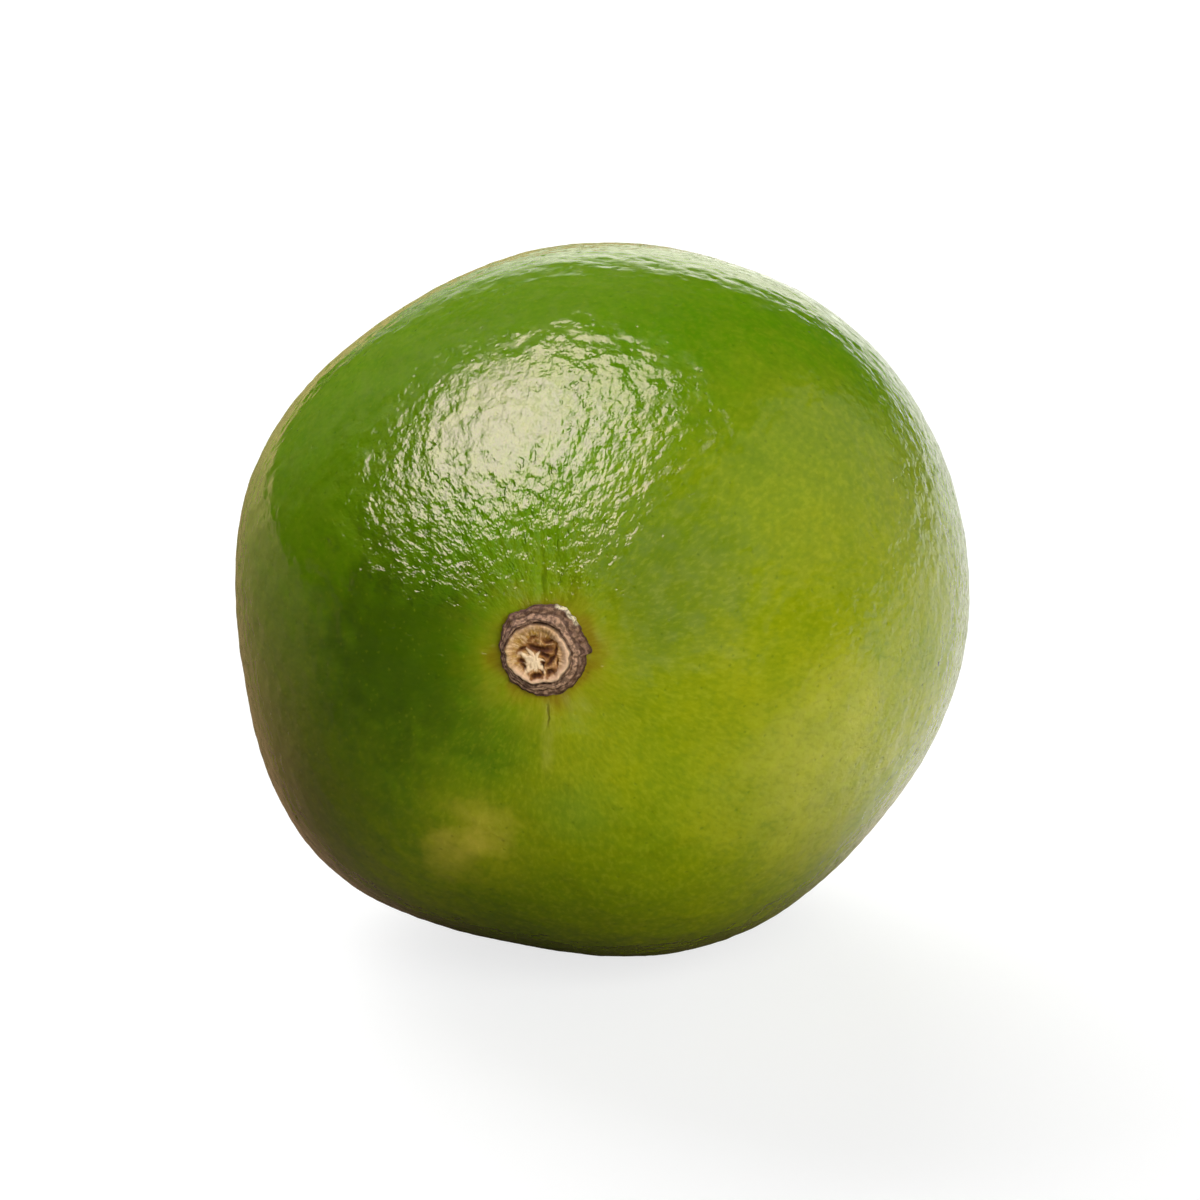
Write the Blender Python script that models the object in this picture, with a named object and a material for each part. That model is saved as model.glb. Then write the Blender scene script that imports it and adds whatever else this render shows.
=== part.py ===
"""A whole Persian lime lying on its side, with the dried button still on its stem end.

The fruit and its button are modelled with the stem axis upright, along +Z, and are then laid over
together: the stem end faces -Y and rises a little, and the flat spot that the fruit rests on lies
on z = 0. The origin is under the middle of the fruit. Metres, +Z up.
"""

from math import cos, exp, pi, radians, sin

import bmesh
import bpy
from mathutils import Matrix, Vector

# The fruit's body, an oval that is a little fuller than an ellipse and a little longer behind
BODY_LENGTH = 0.062
BODY_WIDTH = 0.0555
STEM_SIDE_SHARE = 0.485  # share of the length from the widest section to the stem end
FULLNESS = 2.12  # 2 is an ellipse, and more is fuller

# Soft lobes round the stem axis: how many, their height as a share of the radius, one peak's turn
LOBES = (
    (2, 0.0214, radians(22)),
    (4, 0.0080, radians(44)),
    (5, 0.0110, radians(9)),
    (6, 0.0093, radians(-15)),
)

# How the fruit lies
STEM_RISE = radians(9.7)  # angle of the stem axis above the horizontal
REST_FLAT_DEPTH = 0.00055  # how far up the flat spot is cut into the underside

# The stem end: a shallow basin with radial creases, and a flat socket under the button
BASIN_RADIUS = 0.0075
BASIN_DEPTH = 0.0009
CREASE_WAVES = ((5, 0.00013, radians(95)), (8, 0.00009, radians(40)))
CREASE_REACH = 0.0058
CREASE_WIDTH = 0.0030
SOCKET_RADIUS = 0.0028
SOCKET_WALL = 0.0008
SOCKET_DEPTH = 0.00035

# The stylar end: a low puckered nipple with a dent in its tip and a shallow furrow round it
NIPPLE_RADIUS = 0.0052
NIPPLE_HEIGHT = 0.0014
PUCKERS = 6
PUCKER_HEIGHT = 0.00012
DENT_RADIUS = 0.0012
DENT_DEPTH = 0.0004
FURROW_RADIUS = 0.0090
FURROW_WIDTH = 0.0026
FURROW_DEPTH = 0.0003

# The button: a thin five-pointed calyx ring, and in it a raised scar with radial ridges
BUTTON_GAP = 0.0003  # clearance between the button's underside and the socket floor
CALYX_RADIUS = 0.0033
CALYX_POINTS = 5
CALYX_POINT_REACH = 0.00028
SCAR_RIM_RADIUS = 0.0024
SCAR_RIM_HEIGHT = 0.00125
SCAR_RIDGES = 9
SCAR_RIDGE_HEIGHT = 0.00014
SCAR_RIDGE_RADIUS = 0.0014

# The button's outline, as radius and height: outwards under the calyx, then in over its top
BUTTON_UNDERSIDE = (
    (0.00120, 0.00000),
    (0.00235, 0.00000),
    (0.00285, 0.00022),
    (0.00322, 0.00042),
)
BUTTON_TOPSIDE = (
    (CALYX_RADIUS, 0.00055),
    (0.00316, 0.00068),
    (0.00290, 0.00078),
    (0.00268, 0.00070),
    (0.00258, 0.00078),
    (0.00254, 0.00108),
    (SCAR_RIM_RADIUS, SCAR_RIM_HEIGHT),
    (0.00218, 0.00116),
    (0.00190, 0.00096),
    (SCAR_RIDGE_RADIUS, 0.00090),
    (0.00090, 0.00092),
    (0.00045, 0.00100),
)
SCAR_MIDDLE_HEIGHT = 0.00102

# How finely the surfaces are divided
BODY_TURNS = 80
BODY_RINGS = 48
END_CROWDING = 0.5  # 0 spaces the rings evenly, and more moves them towards the two ends
BUTTON_TURNS = 54
SMOOTH_ANGLE = radians(40)

RIND_COLOUR = (0.135, 0.235, 0.010, 1.0)
BUTTON_COLOUR = (0.32, 0.20, 0.085, 1.0)


def bump(distance, width):
    """A smooth hump: 1 at no distance, and near 0 past twice the width."""
    return exp(-((distance / width) ** 2))


def stem_end_relief(out, turn):
    """Height of the skin over the plain oval at the stem end, at a distance out from the axis."""
    waves = sum(size * cos(count * (turn - valley)) for count, size, valley in CREASE_WAVES)
    creases = -waves * bump(out - CREASE_REACH, CREASE_WIDTH)
    return creases - BASIN_DEPTH * bump(out, BASIN_RADIUS)


def stylar_end_relief(out, turn):
    """Height of the skin over the plain oval at the stylar end, at a distance out from the axis."""
    nipple = NIPPLE_HEIGHT * bump(out, NIPPLE_RADIUS)
    dent = DENT_DEPTH * bump(out, DENT_RADIUS)
    puckers = PUCKER_HEIGHT * cos(PUCKERS * turn) * bump(out - NIPPLE_RADIUS, NIPPLE_RADIUS / 3)
    furrow = FURROW_DEPTH * bump(out - FURROW_RADIUS, FURROW_WIDTH)
    return nipple + puckers - dent - furrow


def socket_floor():
    """Height of the flat floor that the button stands over, along the stem axis."""
    return STEM_SIDE_SHARE * BODY_LENGTH - BASIN_DEPTH - SOCKET_DEPTH


def skin_point(polar, turn):
    """A point of the skin, by its angle from the stem axis and its turn round that axis."""
    share = STEM_SIDE_SHARE if polar < pi / 2 else 1 - STEM_SIDE_SHARE
    across = sin(polar) / (BODY_WIDTH / 2)
    along = abs(cos(polar)) / (share * BODY_LENGTH)
    oval = (across**FULLNESS + along**FULLNESS) ** (-1 / FULLNESS)
    lobes = sum(height * cos(count * (turn - peak)) for count, height, peak in LOBES)
    reach = oval * (1 + lobes * sin(polar) ** 2)
    out = reach * sin(polar)
    up = reach * cos(polar)
    if up < 0:
        up -= stylar_end_relief(out, turn)
    else:
        up += stem_end_relief(out, turn)
        wall = min(max((out - SOCKET_RADIUS) / SOCKET_WALL, 0), 1)
        up = socket_floor() * (1 - wall) + up * wall
    return Vector((out * cos(turn), out * sin(turn), up))


def ring_polar(ring):
    """Angle of a ring of points from the stem axis, with the rings closer at the two ends."""
    share = ring / BODY_RINGS
    return pi * (share - END_CROWDING * sin(2 * pi * share) / (2 * pi))


def add_rings(mesh, rings, first_tip, last_tip):
    """Joins rings of points into a closed skin, with a fan of triangles at each tip."""
    loops = [[mesh.verts.new(point) for point in ring] for ring in rings]
    tips = [mesh.verts.new(first_tip), mesh.verts.new(last_tip)]
    turns = len(loops[0])
    for i in range(turns):
        j = (i + 1) % turns
        mesh.faces.new((tips[0], loops[0][i], loops[0][j]))
        mesh.faces.new((tips[1], loops[-1][j], loops[-1][i]))
        for low, high in zip(loops, loops[1:]):
            mesh.faces.new((low[i], high[i], high[j], low[j]))


def cut_rest_flat(mesh, down):
    """Cuts the flat spot off the underside and closes it with one flat face."""
    lowest = max(vert.co.dot(down) for vert in mesh.verts)
    cut = bmesh.ops.bisect_plane(
        mesh,
        geom=mesh.verts[:] + mesh.edges[:] + mesh.faces[:],
        plane_co=down * (lowest - REST_FLAT_DEPTH),
        plane_no=down,
        clear_outer=True,
    )
    rim = [edge for edge in cut["geom_cut"] if isinstance(edge, bmesh.types.BMEdge)]
    bmesh.ops.edgeloop_fill(mesh, edges=rim)


def plain_material(name, colour, roughness):
    material = bpy.data.materials.new(name)
    material.use_nodes = True
    shader = material.node_tree.nodes["Principled BSDF"]
    shader.inputs["Base Color"].default_value = colour
    shader.inputs["Roughness"].default_value = roughness
    shader.inputs["Metallic"].default_value = 0.0
    return material


def add_object(name, mesh, material):
    """Turns the faces outward, shades them smooth and puts the piece in the scene."""
    bmesh.ops.recalc_face_normals(mesh, faces=mesh.faces)
    data = bpy.data.meshes.new(name)
    mesh.to_mesh(data)
    mesh.free()
    data.materials.append(material)
    data.shade_smooth()
    data.set_sharp_from_angle(angle=SMOOTH_ANGLE)
    piece = bpy.data.objects.new(name, data)
    bpy.context.collection.objects.link(piece)
    return piece


def make_fruit(down):
    mesh = bmesh.new()
    turns = [2 * pi * i / BODY_TURNS for i in range(BODY_TURNS)]
    rings = [
        [skin_point(ring_polar(ring), turn) for turn in turns] for ring in range(1, BODY_RINGS)
    ]
    add_rings(mesh, rings, skin_point(0, 0), skin_point(pi, 0))
    cut_rest_flat(mesh, down)
    return add_object("fruit", mesh, plain_material("rind", RIND_COLOUR, 0.35))


def calyx_reach(radius, turn):
    """Radius with the five points of the calyx drawn out, most at its edge."""
    point_shape = max(cos(CALYX_POINTS * turn), 0) ** 3
    edge_share = bump(radius - CALYX_RADIUS, CALYX_RADIUS - SCAR_RIM_RADIUS)
    return radius + CALYX_POINT_REACH * point_shape * edge_share


def scar_ridge(radius, turn):
    """Height of the scar's radial ridges over its dished face."""
    ridge_share = bump(radius - SCAR_RIDGE_RADIUS, SCAR_RIDGE_RADIUS / 2)
    return SCAR_RIDGE_HEIGHT * cos(SCAR_RIDGES * turn) * ridge_share


def make_button():
    mesh = bmesh.new()
    turns = [2 * pi * i / BUTTON_TURNS for i in range(BUTTON_TURNS)]
    rings = []
    for radius, height in BUTTON_UNDERSIDE + BUTTON_TOPSIDE:
        ridged = (radius, height) in BUTTON_TOPSIDE
        ring = []
        for turn in turns:
            reach = calyx_reach(radius, turn)
            lift = scar_ridge(radius, turn) if ridged else 0
            ring.append(Vector((reach * cos(turn), reach * sin(turn), height + lift)))
        rings.append(ring)
    add_rings(mesh, rings, Vector((0, 0, 0)), Vector((0, 0, SCAR_MIDDLE_HEIGHT)))
    button = add_object("stem_button", mesh, plain_material("dry_stem", BUTTON_COLOUR, 0.8))
    button.location.z = socket_floor() + BUTTON_GAP
    return button


def lay_down(pieces, lean):
    """Lays the upright pieces over, with the flat spot on z = 0 and the origin under their middle."""
    points = [
        lean @ (vert.co + piece.location) for piece in pieces for vert in piece.data.vertices
    ]
    lowest = Vector(min(point[axis] for point in points) for axis in range(3))
    highest = Vector(max(point[axis] for point in points) for axis in range(3))
    middle = (lowest + highest) / 2
    carrier = bpy.data.objects.new("lime_carrier", None)
    bpy.context.collection.objects.link(carrier)
    carrier.rotation_euler = lean.to_euler()
    carrier.location = (-middle.x, -middle.y, -lowest.z)
    for piece in pieces:
        piece.parent = carrier


def main():
    for old in list(bpy.data.objects):
        bpy.data.objects.remove(old)
    lean = Matrix.Rotation(pi / 2 - STEM_RISE, 3, "X")
    down = lean.transposed() @ Vector((0, 0, -1))
    lay_down((make_fruit(down), make_button()), lean)


main()
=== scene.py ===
"""The finished look of a Persian lime: its pitted waxy rind, the dry calyx and the stem scar.

The lime lies on its side, as its solids do: the stem end faces -Y and rises a little. Shapes are
worked out upright, with the stem axis along +Z, and are then laid over. Metres, +Z up.
"""

from math import cos, pi, radians, sin

import bmesh
import bpy
import numpy as np
from mathutils import Matrix, Vector, noise


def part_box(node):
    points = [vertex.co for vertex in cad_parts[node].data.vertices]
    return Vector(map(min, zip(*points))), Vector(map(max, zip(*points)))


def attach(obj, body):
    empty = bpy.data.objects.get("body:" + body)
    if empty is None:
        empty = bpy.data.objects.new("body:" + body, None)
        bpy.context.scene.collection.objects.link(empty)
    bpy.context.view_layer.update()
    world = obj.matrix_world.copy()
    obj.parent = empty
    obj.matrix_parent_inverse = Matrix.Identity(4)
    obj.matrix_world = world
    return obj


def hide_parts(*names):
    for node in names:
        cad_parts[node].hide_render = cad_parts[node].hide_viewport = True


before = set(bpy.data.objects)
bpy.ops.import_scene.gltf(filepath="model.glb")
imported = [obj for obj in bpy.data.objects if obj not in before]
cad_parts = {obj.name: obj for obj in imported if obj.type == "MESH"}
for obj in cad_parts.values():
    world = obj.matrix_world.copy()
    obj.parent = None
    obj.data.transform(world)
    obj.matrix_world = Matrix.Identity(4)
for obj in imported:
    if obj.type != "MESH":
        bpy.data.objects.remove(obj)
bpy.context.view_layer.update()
FRUIT_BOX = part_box("fruit")

# The fruit's body, as its solid has it
BODY_LENGTH = 0.062
BODY_WIDTH = 0.0555
STEM_SIDE_SHARE = 0.485
FULLNESS = 2.12
LOBES = (
    (2, 0.0214, radians(22)),
    (4, 0.0080, radians(44)),
    (5, 0.0110, radians(9)),
    (6, 0.0093, radians(-15)),
)
STEM_RISE = radians(9.7)

# The two ends, as the solid has them
BASIN_RADIUS = 0.0075
BASIN_DEPTH = 0.0009
CREASE_WAVES = ((5, 0.00011, radians(95)), (8, 0.00003, radians(40)))
CREASE_REACH = 0.0058
CREASE_WIDTH = 0.0030
SOCKET_DEPTH = 0.00035
BUTTON_GAP = 0.0003
NIPPLE_RADIUS = 0.0052
NIPPLE_HEIGHT = 0.0014
PUCKERS = 6
PUCKER_HEIGHT = 0.00012
DENT_RADIUS = 0.0012
DENT_DEPTH = 0.0004
FURROW_RADIUS = 0.0090
FURROW_WIDTH = 0.0026
FURROW_DEPTH = 0.0003

# Fine wrinkles that run out from the button, only near it
WRINKLES = 31
WRINKLE_DEPTH = 0.000018
WRINKLE_REACH = 0.0048
WRINKLE_WIDTH = 0.0016
WRINKLE_WAVER = (2, 3)

# Oil glands: each is a shallow pit in the skin, with one point of the mesh at its bottom
GLANDS = 21500
GLAND_SEED = 7
GLAND_SHAKE = 0.25  # how far a gland lies from its even place, as a share of their spacing
END_CROWDING = 0.9  # how much closer the glands lie at the two ends
END_CROWDING_ANGLE = radians(22)
GLAND_DEPTH = 0.000030
OPEN_GLAND_SHARE = 0.05
OPEN_GLAND_DEPTH = 0.000070
GLAND_SPREAD = (0.3, 1.6)  # least and greatest depth of a gland, as shares of that depth
OPEN_GLAND_SPREAD = (0.5, 1.2)
POLAR_STEPS = 2000

# Soft unevenness of the rind: wide swells, and pebbles by their size and height
SWELL_SIZE = 0.0060
SWELL_HEIGHT = 0.000080
PEBBLES = ((0.0021, 0.000045), (0.0010, 0.000050))
STEM_END_ROUGHNESS = 1.4  # how much stronger pebbles and glands are above the button
STEM_END_ANGLE = radians(30)
ROUGH_ABOVE = (-0.05, 0.15)  # where that strength begins and is full, by how far up a gland lies
FOOT_SOFTNESS = 0.00015

# The scar, off the middle of the calyx, and a little less tall than it is wide
BUTTON_BASE = STEM_SIDE_SHARE * BODY_LENGTH - BASIN_DEPTH - SOCKET_DEPTH + BUTTON_GAP
SCAR_SHIFT = (-0.00040, -0.00031)
SCAR_SIZE = 0.94
SCAR_FLATTENING = 0.94
SCAR_RIM_RADIUS = 0.0024
SCAR_RIM_HEIGHT = 0.00125
SCAR_TURNS = 180
SCAR_RINGS = 60
SCAR_OUTLINE = (
    (0.00258, 0.00020),
    (0.00260, 0.00070),
    (0.00254, 0.00108),
    (SCAR_RIM_RADIUS, SCAR_RIM_HEIGHT),
    (0.00218, 0.00118),
    (0.00192, 0.00098),
    (0.00150, 0.00090),
    (0.00090, 0.00092),
    (0.00045, 0.00098),
    (0.00004, 0.00100),
)
SCAR_WAVES = ((2, 0.030, 1.0), (3, 0.018, 2.1))  # of its edge: how many, how high, and their start
SCAR_EDGE_SWELLS = ((0.45, 0.075), (0.17, 0.035))  # of its edge: size and height, as shares
SCAR_FACE = (0.0007, 0.0009)  # heights at which its face takes over from its side
SCAR_RIPPLES = ((0.00045, 0.00006), (0.00020, 0.00005))  # size and height

# The scar's fibres, in a ring round its middle
FIBRES = 37
FIBRE_WAVER = (4, 5)
FIBRE_HEIGHT = 0.000028
FIBRE_RADIUS = 0.0018
FIBRE_WIDTH = 0.0005

# Pits in the scar: where in mm, how long and wide in mm, turned how far, and how deep in mm
MM = 1000
SCAR_PITS = (
    (0.10, 0.52, 0.85, 0.26, -6, 0.42),
    (0.56, 0.05, 0.36, 0.22, -40, 0.36),
    (0.95, -0.36, 0.50, 0.18, 62, 0.34),
    (0.36, -0.92, 0.60, 0.15, 84, 0.44),
    (-0.02, -1.56, 0.34, 0.16, 12, 0.30),
    (-0.86, -1.10, 0.42, 0.16, -48, 0.38),
    (-1.10, -0.62, 0.32, 0.14, -12, 0.34),
    (-0.55, -0.80, 0.24, 0.13, 60, 0.36),
    (1.26, 0.28, 0.50, 0.15, 84, 0.26),
    (1.02, -1.24, 0.42, 0.16, 48, 0.30),
    (-1.06, 0.30, 0.56, 0.18, 34, 0.26),
    (-0.36, 1.10, 0.50, 0.13, 14, 0.20),
    (0.80, 1.02, 0.44, 0.13, -34, 0.24),
    (1.46, -0.50, 0.30, 0.11, 84, 0.22),
)
FULL_PIT = 0.34  # a depth in mm that the scar's material takes as fully dark
PIT_WAVER = 1400  # how far ripples move the pits and ridges, in mm for each metre of height
PIT_BEND = 0.24  # how far pits and ridges bend, in mm
PIT_BEND_SIZE = 0.0008
PIT_BEND_SHIFT = 0.01  # keeps the bend up and down apart from the bend to the side

# Ridges of the scar, from its star's middle: how far they reach in mm, their turn and their width
STAR_MIDDLE = (-0.16, -0.34)
SCAR_RIDGES = (
    (1.75, 170, 0.26),
    (1.15, 204, 0.16),
    (1.90, 237, 0.34),
    (1.20, 276, 0.16),
    (1.85, 305, 0.20),
    (0.95, 352, 0.12),
    (1.05, 62, 0.16),
    (1.35, 128, 0.15),
)
RIDGE_HEIGHT = 0.00015
RIDGE_START = 0.2  # in mm
RIDGE_FADE = 0.3  # where along its length a ridge starts to fade
RIDGE_TAPER = 0.4
RIDGE_OVER_PITS = 0.6  # how much of a pit a ridge fills where they meet

# The calyx, from its inner foot out under its edge and back in over its top
CALYX_RADIUS = 0.0033
CALYX_TURNS = 180
CALYX_RINGS = 36
CALYX_OUTLINE = (
    (0.00225, 0.00020),
    (0.00300, 0.00010),
    (CALYX_RADIUS, 0.00028),
    (0.00328, 0.00044),
    (0.00312, 0.00062),
    (0.00296, 0.00060),
    (0.00284, 0.00052),
    (0.00274, 0.00072),
    (0.00260, 0.00086),
    (0.00246, 0.00086),
    (0.00232, 0.00064),
)
CALYX_EDGE_START = 0.0025
CALYX_TOP = (0.00025, 0.00045)  # heights at which its wrinkled top takes over from its underside
CALYX_STRETCH = 0.03
CALYX_DROP = -0.00012
CALYX_LEAN = (0.00010, 0.4)
CALYX_EDGE_SWELLS = ((0.16, 0.00014), (0.07, 0.00006))  # size as a share, and height
CALYX_SWELLS = ((0.00060, 0.00020), (0.00028, 0.00013))  # size and height
CALYX_FOLD_WIDTH = 0.00034
CALYX_FOLD_HEIGHT = 0.00005
CALYX_FOLD_WAVER = (0.0011, 2.4)
# The calyx's small points, by their turns, and how sharp each is
CALYX_TIPS = ((2, 9), (72, 5), (140, 4), (-138, 10), (-68, 5))
CALYX_POINT_REACH = 0.00028

# Colours of the rind
LEAF_GREEN = (0.136, 0.280, 0.0010, 1.0)
# The two lower greens are painted shade, for the surfaces that face down
SHADED_UNDERSIDE_GREEN = (0.152, 0.185, 0.0010, 1.0)
DEEP_GREEN = (0.112, 0.278, 0.0008, 1.0)
SHADED_UNDERSIDE_DEEP = (0.112, 0.185, 0.0006, 1.0)
OLIVE = (0.255, 0.305, 0.0010, 1.0)
YELLOW_OLIVE = (0.340, 0.350, 0.0060, 1.0)
DARK_MOTTLE = (0.075, 0.165, 0.0015, 1.0)
PALE_MOTTLE = (0.240, 0.320, 0.0080, 1.0)
COOL_GREEN = (0.170, 0.290, 0.0180, 1.0)
SPECKLE_PALE = (0.440, 0.480, 0.0250, 1.0)
FLECK_PALE = (0.400, 0.440, 0.0200, 1.0)
SHADE_GREEN = (0.046, 0.086, 0.0008, 1.0)
# A pale colour of painted sheen, for the lower right
PAINTED_SHEEN_PALE = (0.460, 0.450, 0.0350, 1.0)
PIT_GREEN = (0.045, 0.100, 0.0010, 1.0)
HALO_BROWN = (0.210, 0.120, 0.0050, 1.0)
HALO_YELLOW = (0.330, 0.290, 0.0060, 1.0)
FIBRE_PALE = (0.430, 0.400, 0.0300, 1.0)
BLEMISH_TAN = (0.620, 0.500, 0.0500, 1.0)
CRACK_BROWN = (0.090, 0.060, 0.0060, 1.0)
CRACK_PALE = (0.420, 0.420, 0.0500, 1.0)
SPECK_BLACK = (0.012, 0.012, 0.0060, 1.0)

# Places on the upright lime, and the side of it that turned olive in the sun
STEM_END = Vector((0, 0, STEM_SIDE_SHARE * BODY_LENGTH - BASIN_DEPTH))
STYLAR_END = Vector((0, 0, -(1 - STEM_SIDE_SHARE) * BODY_LENGTH - NIPPLE_HEIGHT + DENT_DEPTH))
CALYX_MIDDLE = STEM_END + Vector((0, CALYX_DROP, 0))
OLIVE_SIDE = Vector((0.74, -0.30, 0.60)).normalized()
SUNNED_MOTTLE = (0.011, 0.30, 0.16)  # how far the olive side's edge wanders: size, contrast, share

SPOT_EDGE_FINENESS = 550.0  # of the unevenness of every soft spot's edge
# Patches of the rind: place, radius, softness and unevenness of the edge, strength, colour
PATCHES = (
    (Vector((-0.0110, -0.0209, 0.0170)), 0.0130, 1.0, 0.6, 0.90, OLIVE),
    # Painted sheen: a pale patch on the lower right
    (Vector((0.0205, -0.0095, 0.0180)), 0.0130, 1.0, 0.6, 0.62, PAINTED_SHEEN_PALE),
    (Vector((-0.0052, -0.0156, 0.0248)), 0.0084, 1.0, 0.6, 0.74, YELLOW_OLIVE),
    (Vector((0.0025, -0.0085, 0.0286)), 0.0085, 1.0, 0.6, 0.50, YELLOW_OLIVE),
    (Vector((0.0026, -0.0124, 0.0271)), 0.0046, 1.0, 0.6, 0.50, COOL_GREEN),
    (Vector((-0.0040, -0.0076, 0.0288)), 0.0050, 0.8, 0.7, 0.60, DARK_MOTTLE),
    (Vector((0.0042, -0.0190, 0.0222)), 0.0100, 0.8, 0.7, 0.20, DARK_MOTTLE),
    (Vector((0.0086, 0.0058, 0.0281)), 0.0088, 0.8, 0.7, 0.45, DARK_MOTTLE),
    (Vector((0.0091, -0.0113, 0.0261)), 0.0075, 1.0, 1.2, 0.40, PALE_MOTTLE),
    (Vector((0.0170, 0.0165, 0.0175)), 0.0120, 1.0, 1.2, 0.75, PALE_MOTTLE),
)
SHADED_PATCH = (Vector((-0.0104, -0.0008, 0.0273)), 0.0122, 0.8, 0.7)
SHADED_PATCH_STRENGTH = 0.80

# Finer mottle of the rind: size, contrast, strength, colour
MOTTLES = ((0.0032, 0.22, 0.22, DARK_MOTTLE), (0.0013, 0.20, 0.16, PALE_MOTTLE))
FLECK_FINENESS = 330.0

# Rings of colour round the two ends: radius, softness and unevenness of the edge
OLIVE_HALO = (0.0095, 0.9, 0.8)
YELLOW_HALO = (0.0064, 0.55, 0.5)
THREAD_HALO = (0.0082, 0.7, 0.5)
CALYX_STAIN = (0.0041, 0.18, 0.6)
BROWN_HALO = (0.0050, 0.35, 0.8)
STYLAR_HALO = (0.0070, 0.9, 0.5)
STYLAR_TIP = (0.0014, 0.5, 0.3)
THREAD_FINENESS = 15.0
THREAD_LENGTH = 0.0013
WORN_SIDE = Vector((0.5, -0.86, 0.0))  # the side of the stem end where the halos are strong
WORN_STEP = (-0.0040, 0.0020, 0.35, 1.0)

# The worn tan mark below the button: its parts' places and radii, and their edge
BLEMISH = (
    (Vector((-0.0049, -0.0141, 0.0257)), 0.0036),
    (Vector((-0.0079, -0.0170, 0.0229)), 0.0034),
    (Vector((-0.0064, -0.0155, 0.0243)), 0.0030),
)
BLEMISH_EDGE = (1.0, 1.3)
BLEMISH_MOTTLE = (0.0009, 0.20, 3.0)

# The crack below the button, the pale skin beside it, and the valley above it. Each runs out from
# the stem axis: how far to its side, how its mask fades to its sides, and how it starts and ends
CRACK_WAVER = (700.0, 0.0008)
CRACK_SHIFT = 0.0003
CRACK_SIDES = (0.00014, 0.00003)
CRACK_ENDS = ((-0.0062, -0.0052), (-0.0038, -0.0044))
FLANK_SIDES = (0.00070, 0.00010)
FLANK_ENDS = ((-0.0105, -0.0075), (-0.0034, -0.0042))
VALLEY_SHIFT = 0.0005
VALLEY_SIDES = (0.00055, 0.0)
VALLEY_ENDS = ((0.0028, 0.0042), (0.0095, 0.0060))
UPPER_HALF = (0.0, 0.005)

# A faint ring mark, and four dark specks on the right
RING_MARK = Vector((-0.0007, -0.0074, 0.0291))
RING_RADIUS = 0.00045
RING_INNER_SHARE = 0.7
SPECKS = (
    (Vector((0.0280, -0.0004, 0.0035)), 0.00026),
    (Vector((0.0279, -0.0026, 0.0031)), 0.00024),
    (Vector((0.0271, -0.0027, 0.0082)), 0.00026),
    (Vector((0.0281, -0.0001, 0.0016)), 0.00020),
)

# Where the rind's fine relief is strong: a wide side above the button, less so in one spot of it
ROUGH_SIDE = (Vector((-0.0025, 0.0105, 0.0277)), 0.0205, 0.75, 0.3)
SMOOTH_SPOT = (Vector((-0.0048, 0.0162, 0.0252)), 0.0078, 0.7, 0.7)
SMOOTH_SHARE = 0.50
ROUGH_UPWARD = (0.0005, 0.0050, 0.15, 1.0)
ROUGH_LEFTWARD = (0.0075, 0.0035, 0.25, 1.0)
LEFTWARD_SLANT = -0.25
ROUGH_RIGHT_SIDE = (0.50, 0.85, 0.0, 0.42)
CALM_UNDERSIDE = (-0.70, -0.30, 0.25, 1.0)
CALM_SPOTS = ((STEM_END, 0.0064, 0.45), (Vector((0.0096, 0.0016, 0.0284)), 0.0092, 0.40))

# The rind's fine relief, in units of height. Each layer's height is given on calm and on rough skin
RELIEF_UNIT = 0.000020
GRAIN_LAYERS = (((105.0, 1.0), (1.6, 8.0)), ((210.0, 2.0), (0.8, 5.0)), ((430.0, 1.0), (0.3, 3.4)))
PEBBLE_FINENESS = 1150.0
PEBBLE_HEIGHTS = (1.6, 9.0)
DENT_FINENESS = 150.0
DENT_SHARE = 0.32
DENT_HEIGHTS = (-0.5, -4.5)
DENT_BEND = 0.9  # how far the cells' edges bend, as a share of a cell
DENT_BEND_FINENESS = 2.2  # how much finer that bend is than the cells
GLAND_HEIGHTS = (0.5, 1.2)
OPEN_GLAND_EXTRA = 1.5
CRACK_DROP = -2.0
VALLEY_DROP = -7.0

# Its gloss
WAX_MOTTLE = (0.0013, 0.20)
WAX_ROUGHNESS = (0.11, 0.175)
WAX_IOR = 1.45

# Colours of the dry button
# The first gold-brown below is painted shade, for one side of the scar
SCAR_SHADE_GOLD = (0.440, 0.250, 0.030, 1.0)
SCAR_TAN = (0.560, 0.310, 0.080, 1.0)
SCAR_PINK = (0.840, 0.570, 0.360, 1.0)
SCAR_CREAM = (0.950, 0.740, 0.460, 1.0)
SCAR_RUST = (0.240, 0.100, 0.020, 1.0)
# The darkest brown is the pits' own colour and painted shade in them
SCAR_PIT_BROWN_AND_SHADE = (0.060, 0.018, 0.003, 1.0)
CALYX_BROWN = (0.135, 0.068, 0.032, 1.0)
CALYX_PINK = (0.520, 0.320, 0.190, 1.0)
# The calyx's dark is its own dark flecks, and painted shade in its folds, grooves and edges and on
# the scar's side wall
CALYX_DARK_AND_SHADE = (0.040, 0.018, 0.010, 1.0)
CALYX_CREAM = (0.780, 0.680, 0.450, 1.0)
DRY_SPECULAR = 0.2

# Patterns of the dry button: patch size, contrast and detail
SCAR_FIBRE = (0.00040, 0.16, 4.0)
SCAR_FLECKS = (0.00022, 0.14, 3.0)
CALYX_PATCHES = (0.00052, 0.13, 4.0)
CALYX_FLECKS = (0.00030, 0.11, 3.0)
SHADED_SCAR_SIDE = Vector((-0.64, 0.77, 0.0))  # the side of the scar painted darker and gold-brown, as painted shade
SHADED_SCAR_STEP = (-0.0006, 0.0010)
CHIP_START = (0.62, 0.75)  # turns at which the calyx's pale chip starts and ends
CHIP_END = (1.38, 1.25)
SCAR_GRAIN = (3200.0, 0.00008)  # fineness, and height
CALYX_GRAIN = (2200.0, 0.00012)

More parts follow.
